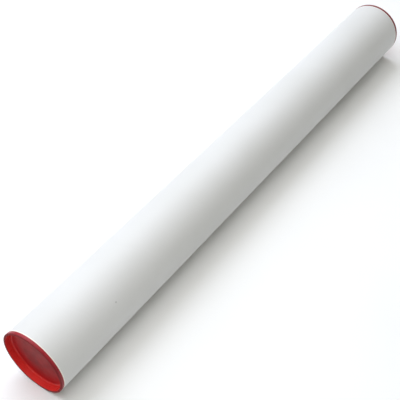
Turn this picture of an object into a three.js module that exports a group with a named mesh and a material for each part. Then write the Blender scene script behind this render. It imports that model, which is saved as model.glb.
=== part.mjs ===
// A rolled fire blanket stored in a round board tube, with a recessed plastic plug in each end.
//
// Millimetres, +Z up. The tube lies along X on the plane z = 0. Its opening end is at -X: that plug
// comes off first, and the roll is drawn out by the two tapes folded behind it.

import * as THREE from 'three';
import { mergeVertices } from 'three/addons/utils/BufferGeometryUtils.js';

// ---- Driving dimensions ----

const GAP = 0.3; // clearance between pieces that touch
const SIDES = 32; // flats round each turned piece; the tube lies on one of them

const TUBE_LENGTH = 936;
const TUBE_R = 51;
const TUBE_WALL = 2.5;
const TUBE_BORE_R = TUBE_R - TUBE_WALL;

const COLLAR_R = 50.8; // the collar is a hair narrower than the tube
const COLLAR_PROUD = 5; // how far the collar stands out of the tube's end
const LIP = 3; // radial thickness of the collar's lip
const RECESS_DEPTH = 11;
const RECESS_DRAFT = 0.3; // the recess narrows by this much towards its floor
const RECESS_FILLET = 3;
const FLOOR_THICKNESS = 1.6;
const SKIRT_END = 21; // from the lip's face to the skirt's inner end
const SKIRT_R = 47.7;
const SKIRT_WALL = 1.2;
const RIB_COUNT = 3;
const RIB_PITCH = 4.2;
const RIB_R = TUBE_BORE_R - GAP;
const EDGE = 0.7; // rounding of the collar's edges

const ROLL_LENGTH = 900;
const ROLL_R = 38;
const ROLL_STEP = 2.4; // thickness of one turn of the doubled cloth, the step at its free edge
const ROLL_CLEARANCE = 0.5; // under the roll, where it lies in the bore
const ROLL_EDGE = THREE.MathUtils.degToRad(100); // where the free edge lies, from +Y towards +Z

const TAPE_WIDTH = 25;
const TAPE_THICKNESS = 1.4;
const TAPE_SEWN = 60; // length of tape lying on the roll
const TAPE_CROSS = 30; // how far past the roll's axis a tape runs before it folds back
const TAPE_RETURN = 28; // how far back up it ends
const TAPE_ANGLES = [30, 150].map(THREE.MathUtils.degToRad); // round the roll, from +Y towards +Z

const SEAM_LENGTH = 44; // box seam with a cross in it
const SEAM_WIDTH = 17;
const THREAD = 1.1; // width of a line of stitching
const THREAD_HEIGHT = 0.5;

// ---- Derived places ----

const RIM_X = TUBE_LENGTH / 2 + COLLAR_PROUD; // the lips' faces are at -RIM_X and RIM_X
const ROLL_Z = TUBE_R - TUBE_BORE_R + ROLL_CLEARANCE + ROLL_R;
const ROLL_END_X = -ROLL_LENGTH / 2; // the end that leaves the tube first

// ---- Materials ----

const whiteBoard = new THREE.MeshStandardMaterial({ color: 0xf1f0ec, roughness: 0.45, metalness: 0 });
const redPlastic = new THREE.MeshStandardMaterial({ color: 0xc3262b, roughness: 0.4, metalness: 0 });
const glassCloth = new THREE.MeshStandardMaterial({ color: 0xdcd8c9, roughness: 0.85, metalness: 0 });
const blackWebbing = new THREE.MeshStandardMaterial({ color: 0x1d1d1f, roughness: 0.9, metalness: 0 });
const thread = new THREE.MeshStandardMaterial({ color: 0xe9e6dc, roughness: 0.8, metalness: 0 });

// ---- Shape helpers ----

/** A profile of [x, radius to the flats] turned round the X axis, with a flat facing down. */
function turned(profile) {
  const toCorner = 1 / Math.cos(Math.PI / SIDES);
  const points = profile.map(([x, r]) => new THREE.Vector2(r * toCorner, x));
  const geometry = new THREE.LatheGeometry(points, SIDES, Math.PI / SIDES);
  geometry.rotateZ(-Math.PI / 2);
  geometry.deleteAttribute('normal');
  geometry.deleteAttribute('uv');
  return mergeVertices(geometry, 1e-4);
}

/** Points of an arc, in [x, radius] pairs, both ends included. */
function arc(x, r, radius, from, to, steps = 4) {
  const points = [];
  for (let i = 0; i <= steps; i += 1) {
    const angle = THREE.MathUtils.degToRad(from + ((to - from) * i) / steps);
    points.push([x + radius * Math.cos(angle), r + radius * Math.sin(angle)]);
  }
  return points;
}

/** A 2D outline in the (X, Y) plane pushed along Z by depth, centred on z = 0. */
function extruded(shape, depth) {
  const geometry = new THREE.ExtrudeGeometry(shape, { depth, bevelEnabled: false, curveSegments: 10 });
  geometry.translate(0, 0, -depth / 2);
  return geometry;
}

/** A flat strip of the given thickness that follows a path of 2D points. */
function stripShape(path, thickness) {
  const left = [];
  const right = [];
  path.forEach((point, i) => {
    const before = path[Math.max(i - 1, 0)];
    const after = path[Math.min(i + 1, path.length - 1)];
    const along = after.clone().sub(before).normalize();
    const side = new THREE.Vector2(-along.y, along.x).multiplyScalar(thickness / 2);
    left.push(point.clone().add(side));
    right.unshift(point.clone().sub(side));
  });
  return new THREE.Shape([...left, ...right]);
}

function named(name, geometry, material) {
  const mesh = new THREE.Mesh(geometry, material);
  mesh.name = name;
  return mesh;
}

// ---- Tube ----

function makeTube() {
  const half = TUBE_LENGTH / 2;
  const wall = [
    [-half, TUBE_BORE_R],
    [-half, TUBE_R],
    [half, TUBE_R],
    [half, TUBE_BORE_R],
    [-half, TUBE_BORE_R],
  ];
  const tube = named('tube', turned(wall), whiteBoard);
  tube.position.z = TUBE_R;
  return tube;
}

// ---- End plugs ----

/** A plug whose lip's face is at x = 0 and whose skirt points along +X. */
function plugGeometry() {
  const recessR = COLLAR_R - LIP;
  const floorR = recessR - RECESS_DRAFT;
  const underside = RECESS_DEPTH + FLOOR_THICKNESS;
  const collarEnd = COLLAR_PROUD - GAP;
  const recess = [
    [RECESS_DEPTH, 0],
    ...arc(RECESS_DEPTH - RECESS_FILLET, floorR - RECESS_FILLET, RECESS_FILLET, 0, 90),
    ...arc(EDGE, recessR + EDGE, EDGE, 270, 180, 3),
  ];
  const collar = [
    ...arc(EDGE, COLLAR_R - EDGE, EDGE, 180, 90, 3),
    [collarEnd, COLLAR_R],
    [collarEnd, SKIRT_R],
  ];
  const ribs = [];
  for (let i = 0; i < RIB_COUNT; i += 1) {
    const x = COLLAR_PROUD + RIB_PITCH * (i + 0.75);
    ribs.push([x - 0.7, SKIRT_R], [x - 0.2, RIB_R], [x + 0.2, RIB_R], [x + 0.7, SKIRT_R]);
  }
  const skirtEnd = [
    [SKIRT_END - 2, SKIRT_R],
    [SKIRT_END, SKIRT_R - 0.6],
    [SKIRT_END, SKIRT_R - SKIRT_WALL],
  ];
  const inside = [
    ...arc(underside + 1, SKIRT_R - SKIRT_WALL - 1, 1, 90, 180, 3),
    [underside, 0],
  ];
  return turned([...recess, ...collar, ...ribs, ...skirtEnd, ...inside]);
}

function makePlugs() {
  const near = named('near_plug', plugGeometry(), redPlastic);
  near.position.set(-RIM_X, 0, TUBE_R);
  const far = named('far_plug', plugGeometry(), redPlastic.clone());
  far.position.set(RIM_X, 0, TUBE_R);
  far.rotation.z = Math.PI;
  return [near, far];
}

// ---- Blanket roll ----

/** The outer turn's radius, given the share of a turn from the cloth's free edge. */
function rollRadius(share) {
  return ROLL_R - ROLL_STEP * share;
}

/** The roll's outline: one turn of a spiral, closed by the step at the cloth's free edge. */
function makeRoll() {
  const steps = 64;
  const outline = [];
  for (let i = steps; i >= 0; i -= 1) {
    const angle = ROLL_EDGE - (2 * Math.PI * i) / steps;
    const r = rollRadius(i / steps);
    outline.push(new THREE.Vector2(r * Math.cos(angle), r * Math.sin(angle)));
  }
  const roll = named('blanket_roll', extruded(new THREE.Shape(outline), ROLL_LENGTH), glassCloth);
  roll.rotation.set(Math.PI / 2, Math.PI / 2, 0); // the outline's X is +Y and its Y is +Z
  return roll;
}

// ---- Pull tapes ----

/**
 * A tape in the plane of (u, v): u runs out of the roll's end and v is the distance from the roll's
 * axis. It lies along the roll, bends over the end at the depth of its layer, crosses to the other
 * side and folds back on itself.
 */
function tapePath(layer, surfaceR) {
  const pitch = TAPE_THICKNESS + GAP;
  const sewnV = surfaceR + GAP + TAPE_THICKNESS / 2;
  const crossU = GAP + TAPE_THICKNESS / 2 + 2 * layer * pitch;
  const bend = 1;
  const path = new THREE.Path();
  path.moveTo(-TAPE_SEWN, sewnV);
  path.lineTo(crossU - bend, sewnV);
  path.absarc(crossU - bend, sewnV - bend, bend, Math.PI / 2, 0, true);
  path.lineTo(crossU, -TAPE_CROSS);
  path.absarc(crossU + pitch / 2, -TAPE_CROSS, pitch / 2, Math.PI, 2 * Math.PI, false);
  path.lineTo(crossU + pitch, TAPE_RETURN);
  return path.getPoints(6);
}

/** The box seam: a flat frame with a cross in it, as four triangular holes in a plate. */
function seamShape() {
  const a = SEAM_LENGTH / 2;
  const b = SEAM_WIDTH / 2;
  const shape = new THREE.Shape();
  shape.moveTo(-a, -b);
  shape.lineTo(a, -b);
  shape.lineTo(a, b);
  shape.lineTo(-a, b);
  shape.closePath();
  const slope = b / a;
  const half = THREAD / 2;
  const away = half * Math.hypot(1, slope); // from the cross's middle line, measured up
  const endA = a - THREAD;
  const endB = b - THREAD;
  const triangles = [
    [[0, away], [(endB - away) / slope, endB], [-(endB - away) / slope, endB]],
    [[0, -away], [-(endB - away) / slope, -endB], [(endB - away) / slope, -endB]],
    [[away / slope, 0], [endA, -(endA * slope - away)], [endA, endA * slope - away]],
    [[-away / slope, 0], [-endA, endA * slope - away], [-endA, -(endA * slope - away)]],
  ];
  for (const corners of triangles) {
    shape.holes.push(new THREE.Path(corners.map(([x, y]) => new THREE.Vector2(x, y))));
  }
  return shape;
}

/** One tape and its stitching, on the side of the roll at the given angle. */
function makeTape(angle, layer) {
  const turn = 2 * Math.PI;
  const surfaceR = rollRadius(THREE.MathUtils.euclideanModulo(ROLL_EDGE - angle, turn) / turn);
  const number = layer + 1;
  const tapeGeometry = extruded(stripShape(tapePath(layer, surfaceR), TAPE_THICKNESS), TAPE_WIDTH);
  const tape = named(`pull_tape_${number}`, tapeGeometry, blackWebbing.clone());
  const seam = named(`tape_stitching_${number}`, extruded(seamShape(), THREAD_HEIGHT), thread.clone());
  seam.rotation.x = Math.PI / 2;
  seam.position.set(-TAPE_SEWN / 2, surfaceR + TAPE_THICKNESS + 2 * GAP + THREAD_HEIGHT / 2, 0);
  const plane = new THREE.Group(); // u along X and v along Y, before it is turned to -X and the angle
  plane.add(tape, seam);
  plane.rotation.set(angle + Math.PI, 0, Math.PI, 'XZY');
  plane.position.x = ROLL_END_X;
  return plane;
}

// ---- Assembly ----

function makeBlanket() {
  const blanket = new THREE.Group();
  blanket.add(makeRoll(), ...TAPE_ANGLES.map(makeTape));
  blanket.position.z = ROLL_Z;
  return blanket;
}

const group = new THREE.Group();
group.add(makeTube(), ...makePlugs(), makeBlanket());
export default group;
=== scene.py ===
"""The looks of a fire blanket, rolled up in a white board tube with a red plug in each end."""

import math

import bpy
from mathutils import Matrix, Vector, noise


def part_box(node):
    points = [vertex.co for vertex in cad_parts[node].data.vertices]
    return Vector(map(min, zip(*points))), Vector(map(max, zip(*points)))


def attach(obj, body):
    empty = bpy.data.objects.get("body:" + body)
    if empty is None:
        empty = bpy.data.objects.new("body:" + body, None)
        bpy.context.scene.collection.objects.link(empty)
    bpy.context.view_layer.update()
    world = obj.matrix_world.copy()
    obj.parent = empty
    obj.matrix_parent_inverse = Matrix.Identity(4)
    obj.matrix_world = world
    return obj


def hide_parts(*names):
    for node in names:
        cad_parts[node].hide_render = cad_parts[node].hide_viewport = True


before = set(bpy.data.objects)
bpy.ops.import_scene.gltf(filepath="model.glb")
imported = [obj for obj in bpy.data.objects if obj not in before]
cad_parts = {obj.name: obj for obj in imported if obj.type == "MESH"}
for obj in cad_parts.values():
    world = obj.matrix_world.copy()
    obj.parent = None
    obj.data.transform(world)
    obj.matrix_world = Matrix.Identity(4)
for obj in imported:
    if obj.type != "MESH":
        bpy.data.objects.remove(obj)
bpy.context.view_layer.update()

MM = 0.001
TURN = 2 * math.pi

# ---- Places read from the frame ----

TUBE_LOW, TUBE_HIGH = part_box("tube")
TUBE_R = (TUBE_HIGH.z - TUBE_LOW.z) / 2
TUBE_END = TUBE_HIGH.x
AXIS_Z = (TUBE_HIGH.z + TUBE_LOW.z) / 2
PLUG_LOW, PLUG_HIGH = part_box("far_plug")
RIM_X = PLUG_HIGH.x
COLLAR_R = (PLUG_HIGH.z - PLUG_LOW.z) / 2
SKIRT_END = RIM_X - PLUG_LOW.x
ROLL_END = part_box("blanket_roll")[1].x

# ---- Sizes inside the pieces: what the part has too is the same there ----

TUBE_WALL = 2.5 * MM
WRAP = 0.4 * MM  # the white outer ply
LAP = 12 * MM  # where the outer ply overlaps itself
LAP_STEP = 0.12 * MM  # how far it stands up there
LAP_ANGLE = math.radians(-38)  # from +Y towards +Z, on the side away from the camera
PLY_PITCH = 125 * MM  # of the spiral plies, whose seam shows faintly through the outer one
LINER_PITCH = 110 * MM  # of the liner's seam, inside the bore
PLY = 0.42 * MM  # thickness of each ply of the board
RAW_EDGE_AND_HIGHLIGHT = 1.7 * MM  # where the outer ply's cut edge shows at the tube's ends, painted brighter than the ply as a highlight line
SCUFF_X = -351 * MM  # a small scuff on the tube
SCUFF_ANGLE = math.radians(143)  # from +Y towards +Z
SCUFF_SIZE = 1.3 * MM

COLLAR_PROUD = RIM_X - TUBE_END
LIP = 3 * MM
RECESS_DEPTH = 11 * MM
RECESS_DRAFT = 0.3 * MM
RECESS_FILLET = 3 * MM
FLOOR_THICKNESS = 1.6 * MM
SKIRT_R = 47.7 * MM
SKIRT_WALL = 1.2 * MM
RIB_R = 48.2 * MM
RIB_PITCH = 4.2 * MM
RIB_COUNT = 3
EDGE = 0.35 * MM  # rounding of the lip, finer than the part's

ROLL_R = 38 * MM  # at the free edge
ROLL_STEP = 2.4 * MM  # one turn of the doubled cloth
ROLL_CORE = 8 * MM  # radius of the hole the innermost turn leaves
ROLL_Z = 41 * MM  # height of its axis
ROLL_EDGE = math.radians(100)  # the free edge, from +Y towards +Z
CLOTH = 0.5 * MM  # thickness of one layer
CLOTH_PITCH = 1.1 * MM  # from thread to thread
LAYER = 0.83 * MM  # from the middle of the doubled cloth to the middle of a layer
HEM = 15 * MM
HEM_LIFT = 0.55 * MM  # from a layer to the hem folded on it
HEM_BEND = (0.5, 1.2, 1.9, 2.6)  # radians round a hem's turned edge
HEM_SEAM = 12 * MM  # from the edge to the stitching
CLOTH_INSET = 1 * MM  # from the roll's end to the cloth's

TAPE_WIDTH = 25 * MM
TAPE_THICKNESS = 1.4 * MM
TAPE_SEWN = 60 * MM  # length on the roll
TAPE_CROSS = 30 * MM  # how far past the roll's axis it turns back
TAPE_RETURN = 28 * MM  # how far from the axis it ends, on the side it came from
TAPE_GAP = 0.3 * MM  # between the roll and a tape, and between a tape's folds
WEBBING_PITCH = 1.3 * MM
TAPE_ANGLES = (math.radians(30), math.radians(150))  # from +Y towards +Z
SEAM_LENGTH = 44 * MM  # of the box of stitches
SEAM_WIDTH = 17 * MM
THREAD = 0.7 * MM  # its diameter
HEM_STITCH = 3.6 * MM  # from stitch to stitch
TAPE_STITCH = 2.6 * MM


# ---- Camera, floor and light ----

HEADING = math.radians(35.78)  # the camera's, from +X towards +Y
PITCH = math.radians(45.2)  # how far it looks down
CAMERA_DISTANCE = 20.355 * TUBE_R  # to the plane of view through the tube's opening end
CAMERA_SIDE = 0.2047  # how far left of the middle of view that end lies, as a share of the distance
CAMERA_RISE = 0.1996  # and how far below it
LENS = 72.57
SENSOR = 36

FLOOR_SIDE = 6
AMBIENT = (1, 1, 0.88, 1)  # a little warm, so the shaded side is too
AMBIENT_STRENGTH = 0.24
SKY_BLUE = (0.81, 0.87, 1)


def make_camera():
    """Looks down along the tube from its opening end, as a person who is standing does."""
    flat = math.cos(PITCH)
    forward = Vector((math.cos(HEADING) * flat, math.sin(HEADING) * flat, -math.sin(PITCH)))
    right = Vector((math.sin(HEADING), -math.cos(HEADING), 0))
    up = right.cross(forward)
    data = bpy.data.cameras.new("camera")
    data.lens = LENS
    data.sensor_width = SENSOR
    camera = bpy.data.objects.new("camera", data)
    bpy.context.scene.collection.objects.link(camera)
    back = CAMERA_SIDE * right + CAMERA_RISE * up - forward
    place = Vector((-TUBE_END, 0, AXIS_Z)) + CAMERA_DISTANCE * back
    axes = Matrix((right, up, -forward)).transposed()
    camera.matrix_world = Matrix.Translation(place) @ axes.to_4x4()
    bpy.context.scene.camera = camera


def make_light(name, place, target, size, power, colour=(1, 1, 1)):
    """A soft rectangular light at place, turned towards target."""
    data = bpy.data.lights.new(name, "AREA")
    data.shape = "RECTANGLE"
    data.size, data.size_y = size
    data.energy = power
    data.color = colour
    light = bpy.data.objects.new(name, data)
    bpy.context.scene.collection.objects.link(light)
    light.location = place
    light.rotation_mode = "QUATERNION"
    light.rotation_quaternion = (Vector(target) - Vector(place)).to_track_quat("-Z", "Y")


def make_studio():
    """A white floor, big soft lights overhead and behind the tube, and a small one by its opening end."""
    world = bpy.data.worlds.new("studio")
    bpy.context.scene.world = world
    world.use_nodes = True
    background = world.node_tree.nodes["Background"]
    background.inputs["Color"].default_value = AMBIENT
    background.inputs["Strength"].default_value = AMBIENT_STRENGTH
    make_light("overhead", (-0.12, 0.42, 1.9), (-0.05, 0, 0.05), (3.4, 2.0), 28.5)
    make_light("behind", (0.12, 1.25, 1.5), (0.12, 0, 0.05), (3.0, 1.9), 33.5, SKY_BLUE)
    make_light("near_end", (-0.75, -0.45, 1.2), (-0.4, 0, 0.05), (0.6, 0.6), 2.8)
    floor = build("floor", *square(FLOOR_SIDE))
    floor.data.materials.append(floor_material())
    bpy.context.scene.view_settings.view_transform = "Standard"


# ---- Mesh helpers ----


def build(name, points, faces, smooth=35):
    """A mesh object. Edges sharper than smooth degrees stay sharp."""
    mesh = bpy.data.meshes.new(name)
    mesh.from_pydata([tuple(p) for p in points], [], faces)
    mesh.shade_smooth()
    mesh.set_sharp_from_angle(angle=math.radians(smooth))
    obj = bpy.data.objects.new(name, mesh)
    bpy.context.scene.collection.objects.link(obj)
    return obj


def finish_piece(obj, material, body, slot, *nodes):
    """Gives a piece its material, hangs it on its body and hides the frame's parts that it stands for; slot
    is not used.
    """
    obj.data.materials.append(material)
    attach(obj, body)
    if nodes:
        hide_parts(*nodes)
    return obj


def square(side):
    """A flat square on the ground, for build."""
    half = side / 2
    return [(-half, -half, 0), (half, -half, 0), (half, half, 0), (-half, half, 0)], [(0, 1, 2, 3)]


def grid_faces(rows, columns, closed=False):
    """Quads of a grid of points stored row by row. If closed, each row's ends join."""
    faces = []
    for i in range(rows - 1):
        for j in range(columns if closed else columns - 1):
            n = (j + 1) % columns
            faces.append((i * columns + j, i * columns + n, (i + 1) * columns + n, (i + 1) * columns + j))
    return faces


def lay_uv(obj, columns, uv_of):
    """Writes each grid point's (u, v), in metres, as the piece's UV map."""
    layer = obj.data.uv_layers.new(name="cloth")
    for loop in obj.data.loops:
        layer.data[loop.index].uv = uv_of(*divmod(loop.vertex_index, columns))


def arc(x, r, radius, start, end, steps):
    """Points of an arc in (x, radius) pairs, angles in degrees, both ends included."""
    angles = [math.radians(start + (end - start) * i / steps) for i in range(steps + 1)]
    return [(x + radius * math.cos(a), r + radius * math.sin(a)) for a in angles]


def revolve(profile, segments, radius_change=None):
    """
    Turns a closed profile of (x, radius) round the tube's axis, or an open one that starts and ends
    on it. radius_change(angle, x, radius) may add to the radius.
    """
    points, rings, faces = [], [], []
    for x, r in profile:
        start = len(points)
        if r < 1e-9:
            points.append((x, 0, AXIS_Z))
            rings.append([start] * segments)
            continue
        for j in range(segments):
            angle = TURN * j / segments
            at = r + (radius_change(angle, x, r) if radius_change else 0)
            points.append((x, at * math.cos(angle), AXIS_Z + at * math.sin(angle)))
        rings.append(list(range(start, start + segments)))
    on_axis = profile[0][1] < 1e-9
    for i in range(len(rings) - 1 if on_axis else len(rings)):
        a, b = rings[i], rings[(i + 1) % len(rings)]
        for j in range(segments):
            n = (j + 1) % segments
            corners = (a[j], b[j], b[n], a[n])
            faces.append(tuple(dict.fromkeys(corners)))
    return points, faces


# ---- Material helpers ----


class Surface:
    """A Principled material with short ways to add nodes to it."""

    def __init__(self, name, specular):
        self.material = bpy.data.materials.new(name)
        self.material.use_nodes = True
        self.tree = self.material.node_tree
        self.shader = self.tree.nodes["Principled BSDF"]
        self.set("Specular IOR Level", specular)
        self.coordinates = self.tree.nodes.new("ShaderNodeTexCoord")

    def set(self, socket, value):
        """Sets a number that is the same all over."""
        self.shader.inputs[socket].default_value = value

    def node(self, kind, inputs=None, **settings):
        """A node whose settings are attributes and whose inputs are values or other nodes' outputs."""
        made = self.tree.nodes.new("ShaderNode" + kind)
        for key, value in settings.items():
            setattr(made, key, value)
        for key, value in (inputs or {}).items():
            self.feed(made.inputs[key], value)
        return made

    def feed(self, socket, value):
        """Links the socket to another node's output, or sets its value."""
        if isinstance(value, bpy.types.NodeSocket):
            self.tree.links.new(value, socket)
        else:
            socket.default_value = value

    def math(self, operation, *values):
        """The result of one arithmetic operation."""
        made = self.node("Math", operation=operation)
        for socket, value in zip(made.inputs, values):
            self.feed(socket, value)
        return made.outputs[0]

    def mix(self, factor, first, second):
        """A colour mixed from two, by factor."""
        made = self.node("Mix", data_type="RGBA")
        self.feed(made.inputs[0], factor)
        for socket, value in ((made.inputs[6], first), (made.inputs[7], second)):
            self.feed(socket, (*value, 1) if isinstance(value, tuple) else value)
        return made.outputs[2]

    def scale(self, low, high, value, new_low=0.0, new_high=1.0):
        """value, from low..high to new_low..new_high, clamped."""
        old = {"Value": value, "From Min": low, "From Max": high}
        return self.node("MapRange", {**old, "To Min": new_low, "To Max": new_high}).outputs[0]

    def stretched(self, x, y, z, source="Object"):
        """The piece's own coordinates, scaled along each axis."""
        sockets = {"Vector": self.coordinates.outputs[source], "Scale": (x, y, z)}
        return self.node("Mapping", sockets).outputs[0]

    def noise(self, scale, detail=3.0, vector=None):
        """Soft noise from 0 to 1, on the piece's own coordinates unless it is given others."""
        sockets = {"Vector": vector or self.coordinates.outputs["Object"], "Scale": scale, "Detail": detail}
        return self.node("TexNoise", sockets).outputs[0]

    def from_axis(self):
        """(distance from the tube's axis, angle round it from +Y towards +Z, place along it)."""
        x, y, z = self.node("SeparateXYZ", {0: self.coordinates.outputs["Object"]}).outputs
        up = self.math("SUBTRACT", z, AXIS_Z)
        squares = self.math("ADD", self.math("POWER", y, 2.0), self.math("POWER", up, 2.0))
        return self.math("SQRT", squares), self.math("ARCTAN2", up, y), x

    def gap(self, first, second):
        """How far apart two numbers are."""
        return self.math("ABSOLUTE", self.math("SUBTRACT", first, second))

    def spiral_seam(self, angle, along, pitch, half_width):
        """0 on a seam that winds round the tube, 1 away from it. half_width is a share of the pitch."""
        turns = self.math("DIVIDE", angle, TURN)
        spiral = self.math("FRACT", self.math("SUBTRACT", self.math("DIVIDE", along, pitch), turns))
        return self.scale(0.0, half_width, self.gap(spiral, 0.5))

    def bump(self, height, distance, strength=1.0, under=None):
        """A normal from a height map, over another normal if there is one under it."""
        sockets = {"Height": height, "Distance": distance, "Strength": strength}
        if under:
            sockets["Normal"] = under
        return self.node("Bump", sockets).outputs[0]

    def use(self, socket, value):
        """Feeds one of the shader's sockets and returns the surface, for its material."""
        self.feed(self.shader.inputs[socket], value)
        return self


# ---- Materials ----


def floor_material():
    """White paper, very slightly cloudy."""
    surface = Surface("floor_white", 0.1)
    surface.set("Roughness", 0.9)
    mottle = surface.scale(0.3, 0.7, surface.noise(3.0))
    return surface.use("Base Color", surface.mix(mottle, (0.92, 0.92, 0.92), (0.95, 0.95, 0.95))).material


def scuff_mask(surface, angle, along):
    """1 on the scuff, 0 away from it, with a ragged border between."""
    x_away = surface.math("DIVIDE", surface.math("SUBTRACT", along, SCUFF_X), SCUFF_SIZE)
    turn_away = surface.math("DIVIDE", surface.math("SUBTRACT", angle, SCUFF_ANGLE), SCUFF_SIZE / TUBE_R)
    squared = [surface.math("POWER", away, 2.0) for away in (x_away, turn_away)]
    border = surface.scale(0, 1, surface.noise(900.0), -0.6, 0.6)
    ragged = surface.math("ADD", surface.math("ADD", *squared), border)
    return surface.scale(0.2, 1.4, ragged, 1.0, 0.0)


def paper_material():
    """The smooth white outer ply, its raw edge at each end painted brighter as a highlight line, and one
    small scuff from handling.
    """
    surface = Surface("white_ply", 0.15)
    _, angle, along = surface.from_axis()
    cloudy = surface.scale(0.35, 0.65, surface.noise(7.0, 4.0))
    colour = surface.mix(cloudy, (0.695, 0.695, 0.685), (0.725, 0.725, 0.72))
    colour = surface.mix(scuff_mask(surface, angle, along), colour, (0.5, 0.5, 0.49))
    from_middle = surface.math("ABSOLUTE", along)
    # the cut edge at each end: a cream band painted brighter than the ply, partly the ply's own edge and
    # partly a painted highlight
    raw_edge_and_highlight = surface.scale(TUBE_END - RAW_EDGE_AND_HIGHLIGHT, TUBE_END - 0.6 * RAW_EDGE_AND_HIGHLIGHT, from_middle)
    surface.use("Base Color", surface.mix(raw_edge_and_highlight, colour, (0.93, 0.9, 0.83)))
    surface.use("Roughness", surface.scale(0.3, 0.7, surface.noise(40.0, 4.0), 0.38, 0.5))
    seam = surface.bump(surface.spiral_seam(angle, along, PLY_PITCH, 0.03), 0.03 * MM)
    fibres = surface.noise(900.0, 5.0, surface.stretched(0.35, 1, 1))
    return surface.use("Normal", surface.bump(fibres, 0.04 * MM, 0.6, seam)).material


def board_material():
    """Spiral-wound board: pale plies on the cut edge, a grey-brown liner with a spiral seam inside."""
    surface = Surface("board_plies", 0.2)
    radius, angle, along = surface.from_axis()
    ply = surface.math("FRACT", surface.math("DIVIDE", radius, PLY))
    line = surface.scale(0.0, 0.25, surface.gap(ply, 0.5))
    fibres = surface.noise(500.0, 5.0, surface.stretched(0.2, 1, 1))
    cut = surface.mix(line, (0.5, 0.46, 0.38), (0.74, 0.71, 0.63))
    bore = surface.mix(surface.scale(0.35, 0.65, fibres), (0.36, 0.31, 0.24), (0.47, 0.42, 0.33))
    seam = surface.spiral_seam(angle, along, LINER_PITCH, 0.012)
    bore = surface.mix(seam, (0.17, 0.14, 0.1), bore)
    past_liner = surface.scale(TUBE_R - TUBE_WALL + 0.1 * MM, TUBE_R - TUBE_WALL + 0.2 * MM, radius)
    surface.use("Base Color", surface.mix(past_liner, bore, cut))
    surface.use("Roughness", surface.scale(0.3, 0.7, fibres, 0.75, 0.95))
    return surface.use("Normal", surface.bump(fibres, 0.2 * MM, 0.5)).material


def plug_material():
    """Red polyethylene: glossy outside and on the recess's wall, matt on its floor and lip. Painted shade
    darkens the lip, the far plug's collar, the recess's floor and the top of its wall; painted light
    brightens the rest of the wall and the floor's edge.
    """
    surface = Surface("red_plastic", 0.2)
    radius, angle, along = surface.from_axis()
    depth = surface.math("SUBTRACT", RIM_X, surface.math("ABSOLUTE", along))
    streaks = surface.scale(0.3, 0.7, surface.noise(30.0))
    outside = surface.mix(streaks, (0.36, 0.030, 0.042), (0.43, 0.040, 0.052))
    # painted shade: the far plug's collar is painted darker and duller than the near plug's, though both
    # are one moulding
    far_plug_shade = surface.math("GREATER_THAN", along, 0.0)
    outside = surface.mix(far_plug_shade, outside, (0.24, 0.055, 0.070))
    # painted shade: the collar's outside darkens towards the lip
    wavy = surface.math("ADD", depth, surface.math("MULTIPLY", streaks, MM))
    lip_shade_fade = surface.scale(0.1 * MM, COLLAR_PROUD, wavy)
    outside = surface.mix(lip_shade_fade, (0.2, 0.006, 0.009), outside)

    recess_r = COLLAR_R - LIP
    in_recess = surface.scale(recess_r + 0.1 * MM, recess_r, radius)
    # painted light: the recess's wall is painted brighter than the outside, for the light that falls into
    # the recess
    wall = surface.mix(streaks, (0.66, 0.028, 0.025), (0.76, 0.038, 0.029))
    # painted shade: the wall darkens towards the top of the plug, where it faces down
    shade_towards_top = surface.scale(-0.2, 1.1, angle)
    wall = surface.mix(shade_towards_top, wall, (0.42, 0.018, 0.020))
    mottle = surface.scale(0.3, 0.7, surface.noise(75.0, 4.0))
    # painted shade: the recess's floor is painted darker, with a random mottle
    floor = surface.mix(mottle, (0.22, 0.010, 0.012), (0.345, 0.012, 0.013))
    # painted reflected light: the floor grows lighter and redder towards its edge, by the bright wall
    painted_light_outwards = surface.scale(0.55 * recess_r, recess_r, radius)
    floor = surface.mix(painted_light_outwards, floor, (0.5, 0.010, 0.012))
    on_floor = surface.scale(RECESS_DEPTH - 0.5 * RECESS_FILLET, RECESS_DEPTH, depth)
    on_floor = surface.math("MULTIPLY", on_floor, in_recess)
    surface.use("Base Color", surface.mix(on_floor, surface.mix(in_recess, outside, wall), floor))

    gloss = surface.scale(0.3, 0.7, surface.noise(120.0, 4.0), 0.25, 0.36)
    to_fillet = RECESS_DEPTH - RECESS_FILLET
    on_fillet = surface.scale(to_fillet - 0.3 * RECESS_FILLET, to_fillet + 0.2 * RECESS_FILLET, depth)
    polish = surface.math("MULTIPLY", surface.math("MULTIPLY", on_fillet, in_recess), -0.14)
    matt = surface.math("MAXIMUM", on_floor, surface.scale(1.2 * MM, 0.4 * MM, depth))
    gloss = surface.math("ADD", gloss, polish)
    surface.use("Roughness", surface.math("ADD", gloss, surface.math("MULTIPLY", matt, 0.39)))
    grain = surface.bump(surface.noise(1800.0), 0.03 * MM, 0.5)
    return surface.use("Normal", surface.bump(surface.noise(60.0, 2.0), 0.3 * MM, 0.4, grain)).material


def woven(surface, pitch, depth):
    """(normal, height) of a plain weave on the piece's UV map, one thread every pitch metres."""
    place = surface.node("SeparateXYZ", {0: surface.coordinates.outputs["UV"]})
    across = surface.math("SINE", surface.math("MULTIPLY", place.outputs[0], math.pi / pitch))
    down = surface.math("SINE", surface.math("MULTIPLY", place.outputs[1], math.pi / pitch))
    height = surface.math("ABSOLUTE", surface.math("MULTIPLY", across, down))
    return surface.bump(height, depth), height


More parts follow.
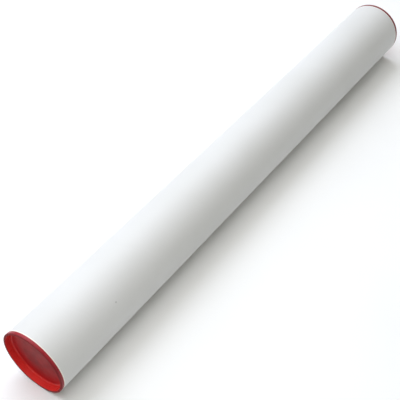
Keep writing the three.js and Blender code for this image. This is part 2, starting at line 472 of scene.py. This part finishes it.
def cloth_material():
    """Woven glass fibre: uneven threads both ways, painted shade between them, and soft rumples."""
    surface = Surface("glass_cloth", 0.35)
    normal, height = woven(surface, CLOTH_PITCH, 0.12 * MM)
    warp = surface.noise(1.0, 2.0, surface.stretched(11, 420, 1, "UV"))
    weft = surface.noise(1.0, 2.0, surface.stretched(420, 11, 1, "UV"))
    slubs = surface.scale(0.8, 1.2, surface.math("ADD", warp, weft))
    threads = surface.mix(slubs, (0.60, 0.57, 0.48), (0.78, 0.75, 0.66))
    # painted shade: the cloth is painted darker between the threads
    surface.use("Base Color", surface.mix(surface.scale(0.0, 0.5, height), (0.45, 0.42, 0.35), threads))
    surface.use("Roughness", surface.scale(0, 1, slubs, 0.68, 0.52))
    rumples = surface.noise(1.0, 3.0, surface.stretched(9, 40, 1, "UV"))
    normal = surface.bump(rumples, 3 * MM, 0.5, normal)
    surface.set("Sheen Weight", 0.25)
    surface.set("Sheen Roughness", 0.4)
    return surface.use("Normal", normal).material


def webbing_material():
    """Coarse black woven tape, with painted shade between its threads."""
    surface = Surface("black_webbing", 0.3)
    normal, height = woven(surface, WEBBING_PITCH, 0.25 * MM)
    # painted shade: the tape is painted darker between its threads
    surface.use("Base Color", surface.mix(height, (0.008, 0.008, 0.009), (0.035, 0.035, 0.038)))
    surface.use("Roughness", surface.scale(0, 1, height, 0.85, 0.62))
    surface.set("Sheen Weight", 0.3)
    surface.set("Sheen Roughness", 0.5)
    return surface.use("Normal", normal).material


def thread_material():
    """White thread with an uneven twist."""
    surface = Surface("white_thread", 0.3)
    twist = surface.noise(2500.0, 2.0)
    surface.use("Base Color", surface.mix(twist, (0.62, 0.6, 0.54), (0.85, 0.83, 0.77)))
    surface.use("Roughness", surface.scale(0.3, 0.7, twist, 0.75, 0.6))
    return surface.use("Normal", surface.bump(twist, 0.1 * MM)).material


# ---- Tube ----


def make_tube():
    """The board core and the white ply round it, whose edge laps over itself in one straight seam."""
    bore, core = TUBE_R - TUBE_WALL, TUBE_R - WRAP
    board_r = core - 0.02 * MM  # just clear of the ply round it
    soft = 0.25 * MM
    end = TUBE_END
    core_profile = [
        *arc(-end + soft, bore + soft, soft, 270, 180, 3),
        (-end, board_r),
        (end, board_r),
        *arc(end - soft, bore + soft, soft, 0, -90, 3),
    ]
    points, faces = revolve(core_profile, 160)
    finish_piece(build("tube_core", points, faces), board_material(), "tube", "tube_board", "tube")

    def lap(angle, x, r):
        """The ply's outer face lies lower everywhere but on the lap."""
        away = (angle - LAP_ANGLE + math.pi) % TURN - math.pi
        return -LAP_STEP if r > core and not 0 <= away * TUBE_R <= LAP else 0

    edge = 0.3 * MM
    wrap_profile = [
        (-end, core),
        *arc(-end + edge, TUBE_R - edge, edge, 180, 90, 4),
        *arc(end - edge, TUBE_R - edge, edge, 90, 0, 4),
        (end, core),
    ]
    points, faces = revolve(wrap_profile, 256, lap)
    finish_piece(build("tube_wrap", points, faces), paper_material(), "tube", "tube_board", "tube")


# ---- Plugs ----


def plug_profile():
    """(x, radius) from the middle of the recess's floor, over the lip and down the skirt, and back."""
    recess = COLLAR_R - LIP
    floor = recess - RECESS_DRAFT
    underside = RECESS_DEPTH + FLOOR_THICKNESS
    collar_end = COLLAR_PROUD - 0.1 * MM
    corner = 0.3 * MM
    rib_base = 0.8 * MM
    rib_centre = SKIRT_R - 0.2 * MM
    profile = [
        (RECESS_DEPTH, 0),
        (RECESS_DEPTH, floor * 0.5),
        *arc(RECESS_DEPTH - RECESS_FILLET, floor - RECESS_FILLET, RECESS_FILLET, 0, 90, 10),
        *arc(EDGE, recess + EDGE, EDGE, 270, 180, 6),
        *arc(EDGE, COLLAR_R - EDGE, EDGE, 180, 90, 6),
        *arc(collar_end - corner, COLLAR_R - corner, corner, 90, 0, 3),
        (collar_end, SKIRT_R),
    ]
    for i in range(RIB_COUNT):
        middle = COLLAR_PROUD + RIB_PITCH * (i + 0.75)
        profile += [(middle - rib_base, SKIRT_R)]
        profile += arc(middle, rib_centre, RIB_R - rib_centre, 150, 30, 6)
        profile += [(middle + rib_base, SKIRT_R)]
    profile += [
        (SKIRT_END - 2 * MM, SKIRT_R),
        (SKIRT_END - 0.2 * MM, SKIRT_R - 0.6 * MM),
        (SKIRT_END, SKIRT_R - 0.8 * MM),
        (SKIRT_END, SKIRT_R - SKIRT_WALL),
        *arc(underside + MM, SKIRT_R - SKIRT_WALL - MM, MM, 90, 180, 5),
        (underside, 0),
    ]
    return profile


def make_plugs():
    """The same moulding at both ends, turned about."""
    material = plug_material()
    for name, side in (("near_plug", -1), ("far_plug", 1)):
        profile = [(side * (RIM_X - x), r) for x, r in plug_profile()]
        points, faces = revolve(profile if side < 0 else profile[::-1], 192)
        finish_piece(build(name + "_moulding", points, faces, 50), material, name, "plug_plastic", name)


# ---- Blanket ----


def spiral(edge_r):
    """(angle, radius, length from the free edge) along the rolled cloth, from the free edge inwards."""
    end = (edge_r - ROLL_CORE) / ROLL_STEP * TURN
    count = math.ceil(end / math.radians(8))
    found = []
    for i in range(count + 1):
        turned = end * i / count
        r = edge_r - ROLL_STEP * turned / TURN
        length = edge_r * turned - ROLL_STEP * turned * turned / (2 * TURN)
        found.append((ROLL_EDGE - turned, r, length))
    return found


def on_roll(x, angle, r):
    """A point of the roll, uneven as rolled cloth is, with shallow creases away from the tapes."""
    uneven = noise.noise(Vector((x * 5, 1.6 * math.cos(angle), 1.6 * math.sin(angle) + 4)))
    ripple = noise.noise(Vector((x * 22, 3 * math.cos(angle), 3 * math.sin(angle) + 9)))
    leaning = angle + 1.2 * x
    crease = noise.noise(Vector((x * 4, 4 * math.cos(leaning), 4 * math.sin(leaning) + 20)))
    from_tapes = min(1, max(0, (ROLL_END - abs(x) - TAPE_SEWN) / (50 * MM)))
    r += (0.5 * uneven + 0.25 * ripple - 3 * from_tapes * max(0, crease) - 0.2) * MM * r / ROLL_R
    return Vector((x, r * math.cos(angle), ROLL_Z + r * math.sin(angle)))


def stations(half):
    """Places along the roll, from -half to half, closer together near the ends."""
    margin = 24 * MM
    ends = [margin * i / 8 for i in range(8)]
    count = round(2 * (half - margin) / (25 * MM))
    middle = [-half + margin + 2 * (half - margin) * i / count for i in range(count + 1)]
    return [-half + e for e in ends] + middle + [half - e for e in reversed(ends)]


def fold_path():
    """(x, offset) across the doubled cloth: a hem, one layer, the fold, the other layer, and a hem."""
    half = ROLL_END - CLOTH_INSET
    tight = HEM_LIFT / 2
    hem = [(-half + HEM * share, LAYER - HEM_LIFT) for share in (1, 0.66, 0.33, 0.05)]
    turn = [(-half - tight * math.sin(a), LAYER - tight - tight * math.cos(a)) for a in HEM_BEND]
    run = [(x, LAYER) for x in stations(half)[:-1]]
    outer = hem + turn + run
    fold = [(half + LAYER * math.cos(a), LAYER * math.sin(a)) for a in (1.57, 1.1, 0.55, 0)]
    upper = outer + fold
    return upper + [(x, -offset) for x, offset in reversed(upper[:-1])]


def make_cloth(material):
    """The whole blanket as one sheet: folded once, hemmed, and rolled up from its inner edge."""
    path = fold_path()
    columns = spiral(ROLL_R - ROLL_STEP / 2)
    points = []
    for x, offset in path:
        for angle, r, length in columns:
            ragged = 1 + 0.0022 * noise.noise(Vector((length * 9, 0.5, 0)))
            points.append(on_roll(x * ragged, angle, r + offset))
    sizes = len(path), len(columns)
    cloth = build("blanket_cloth", points, grid_faces(*sizes), 60)
    along = [0.0]
    for (x0, o0), (x1, o1) in zip(path, path[1:]):
        along.append(along[-1] + math.hypot(x1 - x0, o1 - o0))
    lay_uv(cloth, sizes[1], lambda i, j: (along[i], columns[j][2]))
    thicken(cloth, CLOTH)
    return finish_piece(cloth, material, "blanket", "blanket_cloth", "blanket_roll")


def thicken(obj, thickness):
    """Gives a sheet its thickness, half to each side."""
    solid = obj.modifiers.new("thickness", "SOLIDIFY")
    solid.thickness = thickness
    solid.offset = 0
    solid.use_even_offset = True


def make_free_hem(material):
    """The hem of the free edge: the outer layer's border folded back over itself and sewn down."""
    r = ROLL_R - ROLL_STEP / 2 + LAYER
    top = r + HEM_LIFT
    width, bulge = HEM / r, 0.3 * MM / r
    across = [(width * share, top) for share in (1, 0.8, 0.6, 0.4, 0.2, 0.04)]
    across += [(-bulge * math.sin(a), r + HEM_LIFT / 2 * (1 + math.cos(a))) for a in HEM_BEND]
    across += [(0.02 * width, r + 0.02 * MM)]
    places = stations(ROLL_END - 1.5 * MM)
    points = []
    for turned, radius in across:
        for x in places:
            points.append(on_roll(x, ROLL_EDGE - turned, radius - ROLL_STEP * max(turned, 0) / TURN))
    hem = build("free_edge_hem", points, grid_faces(len(across), len(places)), 60)
    lay_uv(hem, len(places), lambda i, j: (places[j], across[i][0] * r))
    thicken(hem, CLOTH)
    return finish_piece(hem, material, "blanket", "blanket_cloth")


# ---- Stitching ----


def add_stitch(points, faces, start, end, out):
    """One stitch: a short rounded thread that lies from start to end on a surface that faces out."""
    along = end - start
    side = along.cross(out).normalized()
    first = len(points)
    rings, around = 5, 6
    for i in range(rings):
        share = (i + 0.5) / rings
        swell = THREAD / 2 * math.sin(math.pi * share) ** 0.5
        for j in range(around):
            angle = TURN * j / around
            at = start + along * share + side * swell * math.cos(angle)
            points.append(at + out * (swell * math.sin(angle) * 0.8 + THREAD * 0.1))
    faces += [tuple(first + k for k in face) for face in grid_faces(rings, around, closed=True)]
    faces.append(tuple(first + around - 1 - j for j in range(around)))
    faces.append(tuple(first + (rings - 1) * around + j for j in range(around)))


def stitch_line(points, faces, place, length, pitch):
    """Stitches along place(distance), which gives a point and the way its surface faces."""
    count = max(1, round(length / pitch))
    step = length / count
    for i in range(count):
        start, out = place(step * (i + 0.12))
        end, _ = place(step * (i + 0.88))
        add_stitch(points, faces, start, end, out)


def roll_place(x, angle, r):
    """A point on the rolled cloth and the way out of it."""
    return on_roll(x, angle, r), Vector((0, math.cos(angle), math.sin(angle)))


def make_hem_stitching(material):
    """One seam along the free edge's hem, and one round the roll on the open end's hem."""
    points, faces = [], []
    edge_r = ROLL_R - ROLL_STEP / 2 + LAYER
    inset = HEM_SEAM / edge_r
    top = edge_r + HEM_LIFT + CLOTH / 2 - ROLL_STEP * inset / TURN
    reach = 2 * (ROLL_END - 6 * MM)

    def along_edge(distance):
        return roll_place(distance - reach / 2, ROLL_EDGE - inset, top)

    stitch_line(points, faces, along_edge, reach, HEM_STITCH)

    def round_end(distance):
        turned = HEM / edge_r + 0.05 + distance / edge_r
        r = edge_r + CLOTH / 2 - ROLL_STEP * turned / TURN
        return roll_place(-ROLL_END + CLOTH_INSET + HEM_SEAM, ROLL_EDGE - turned, r)

    stitch_line(points, faces, round_end, (TURN - 0.5) * edge_r, HEM_STITCH)
    stitches = build("hem_stitching", points, faces, 60)
    return finish_piece(stitches, material, "blanket", "seam_thread")


# ---- Pull tapes ----


def tape_path(layer, roll_r):
    """
    (u, v, curl) along a tape: u runs out of the roll's end, v is the distance from the roll's axis,
    and curl is 1 where the tape follows the roll's curve and 0 where it runs straight across the end.
    """
    pitch = TAPE_THICKNESS + TAPE_GAP
    sewn = roll_r + TAPE_GAP + TAPE_THICKNESS / 2
    cross = TAPE_GAP + TAPE_THICKNESS / 2 + 2 * layer * pitch
    bend = 1 * MM
    path = [(-TAPE_SEWN * (1 - i / 16), sewn, 1) for i in range(16)]
    path += [(cross - bend + x, sewn - bend + y, 1) for x, y in arc(0, 0, bend, 90, 0, 6)]
    for i in range(1, 20):
        path.append((cross, sewn - bend - (sewn - bend + TAPE_CROSS) * i / 20, max(0, 1 - i / 12)))
    path += [(u, v, 0) for u, v in arc(cross + pitch / 2, -TAPE_CROSS, pitch / 2, 180, 360, 8)]
    path += [(cross + pitch, -TAPE_CROSS + (TAPE_RETURN + TAPE_CROSS) * i / 16, 0) for i in range(1, 17)]
    return path


def tape_point(angle, u, v, curl, w, radius):
    """A point of a tape that lies on the roll at angle and radius, w to the side of its middle line."""
    drop = radius * (1 - math.cos(w / radius))
    side = radius * math.sin(w / radius)
    out, across = v - curl * drop, w + curl * (side - w)
    y = out * math.cos(angle) - across * math.sin(angle)
    z = out * math.sin(angle) + across * math.cos(angle)
    return Vector((-ROLL_END - u, y, ROLL_Z + z))


def surface_radius(angle):
    """The outer face of the rolled cloth at an angle round the roll."""
    share = (ROLL_EDGE - angle) % TURN / TURN
    return ROLL_R - ROLL_STEP * share


def make_webbing(angle, layer, roll_r, material):
    """A tape lying on the roll's surface, over its end and back up in a loop."""
    path = tape_path(layer, roll_r)
    widths = [TAPE_WIDTH * (j / 12 - 0.5) for j in range(13)]
    radius = path[0][1]
    points = [tape_point(angle, *place, w, radius) for place in path for w in widths]
    tape = build(f"pull_tape_{layer + 1}_webbing", points, grid_faces(len(path), len(widths)), 60)
    along = [0.0]
    for (u0, v0, _), (u1, v1, _) in zip(path, path[1:]):
        along.append(along[-1] + math.hypot(u1 - u0, v1 - v0))
    lay_uv(tape, len(widths), lambda i, j: (along[i], widths[j]))
    thicken(tape, TAPE_THICKNESS - 0.1 * MM)
    soften = tape.modifiers.new("selvedge", "BEVEL")
    soften.width = 0.35 * MM
    soften.segments = 2
    soften.angle_limit = math.radians(60)
    return finish_piece(tape, material, "blanket", "tape_webbing", f"pull_tape_{layer + 1}")


def make_tape_seam(angle, layer, roll_r, material):
    """The box of stitches, with a cross in it, that holds a tape to the roll."""
    top = roll_r + TAPE_GAP + TAPE_THICKNESS
    a, b = SEAM_LENGTH / 2, SEAM_WIDTH / 2
    corners = [(-a, -b), (a, -b), (a, b), (-a, b), (-a, -b)]
    lines = [*zip(corners, corners[1:]), ((-a, -b), (a, b)), ((-a, b), (a, -b))]
    points, faces = [], []
    for first, last in lines:
        start, reach = Vector(first), Vector(last) - Vector(first)

        def place(distance, start=start, way=reach.normalized()):
            at = start + way * distance
            out_angle = angle + at.y / top
            out = Vector((0, math.cos(out_angle), math.sin(out_angle)))
            return tape_point(angle, at.x - TAPE_SEWN / 2, top, 1, at.y, top), out

        stitch_line(points, faces, place, reach.length, TAPE_STITCH)
    seam = build(f"tape_stitching_{layer + 1}_thread", points, faces, 60)
    return finish_piece(seam, material, "blanket", "seam_thread", f"tape_stitching_{layer + 1}")


def make_blanket():
    """The rolled cloth with all that is sewn to it, which moves as one body."""
    cloth_look, thread = cloth_material(), thread_material()
    cloth = make_cloth(cloth_look)
    on_it = [make_free_hem(cloth_look), make_hem_stitching(thread)]
    webbing = webbing_material()
    for layer, angle in enumerate(TAPE_ANGLES):
        roll_r = surface_radius(angle)
        on_it.append(make_webbing(angle, layer, roll_r, webbing))
        on_it.append(make_tape_seam(angle, layer, roll_r, thread))


make_camera()
make_studio()
make_tube()
make_plugs()
make_blanket()
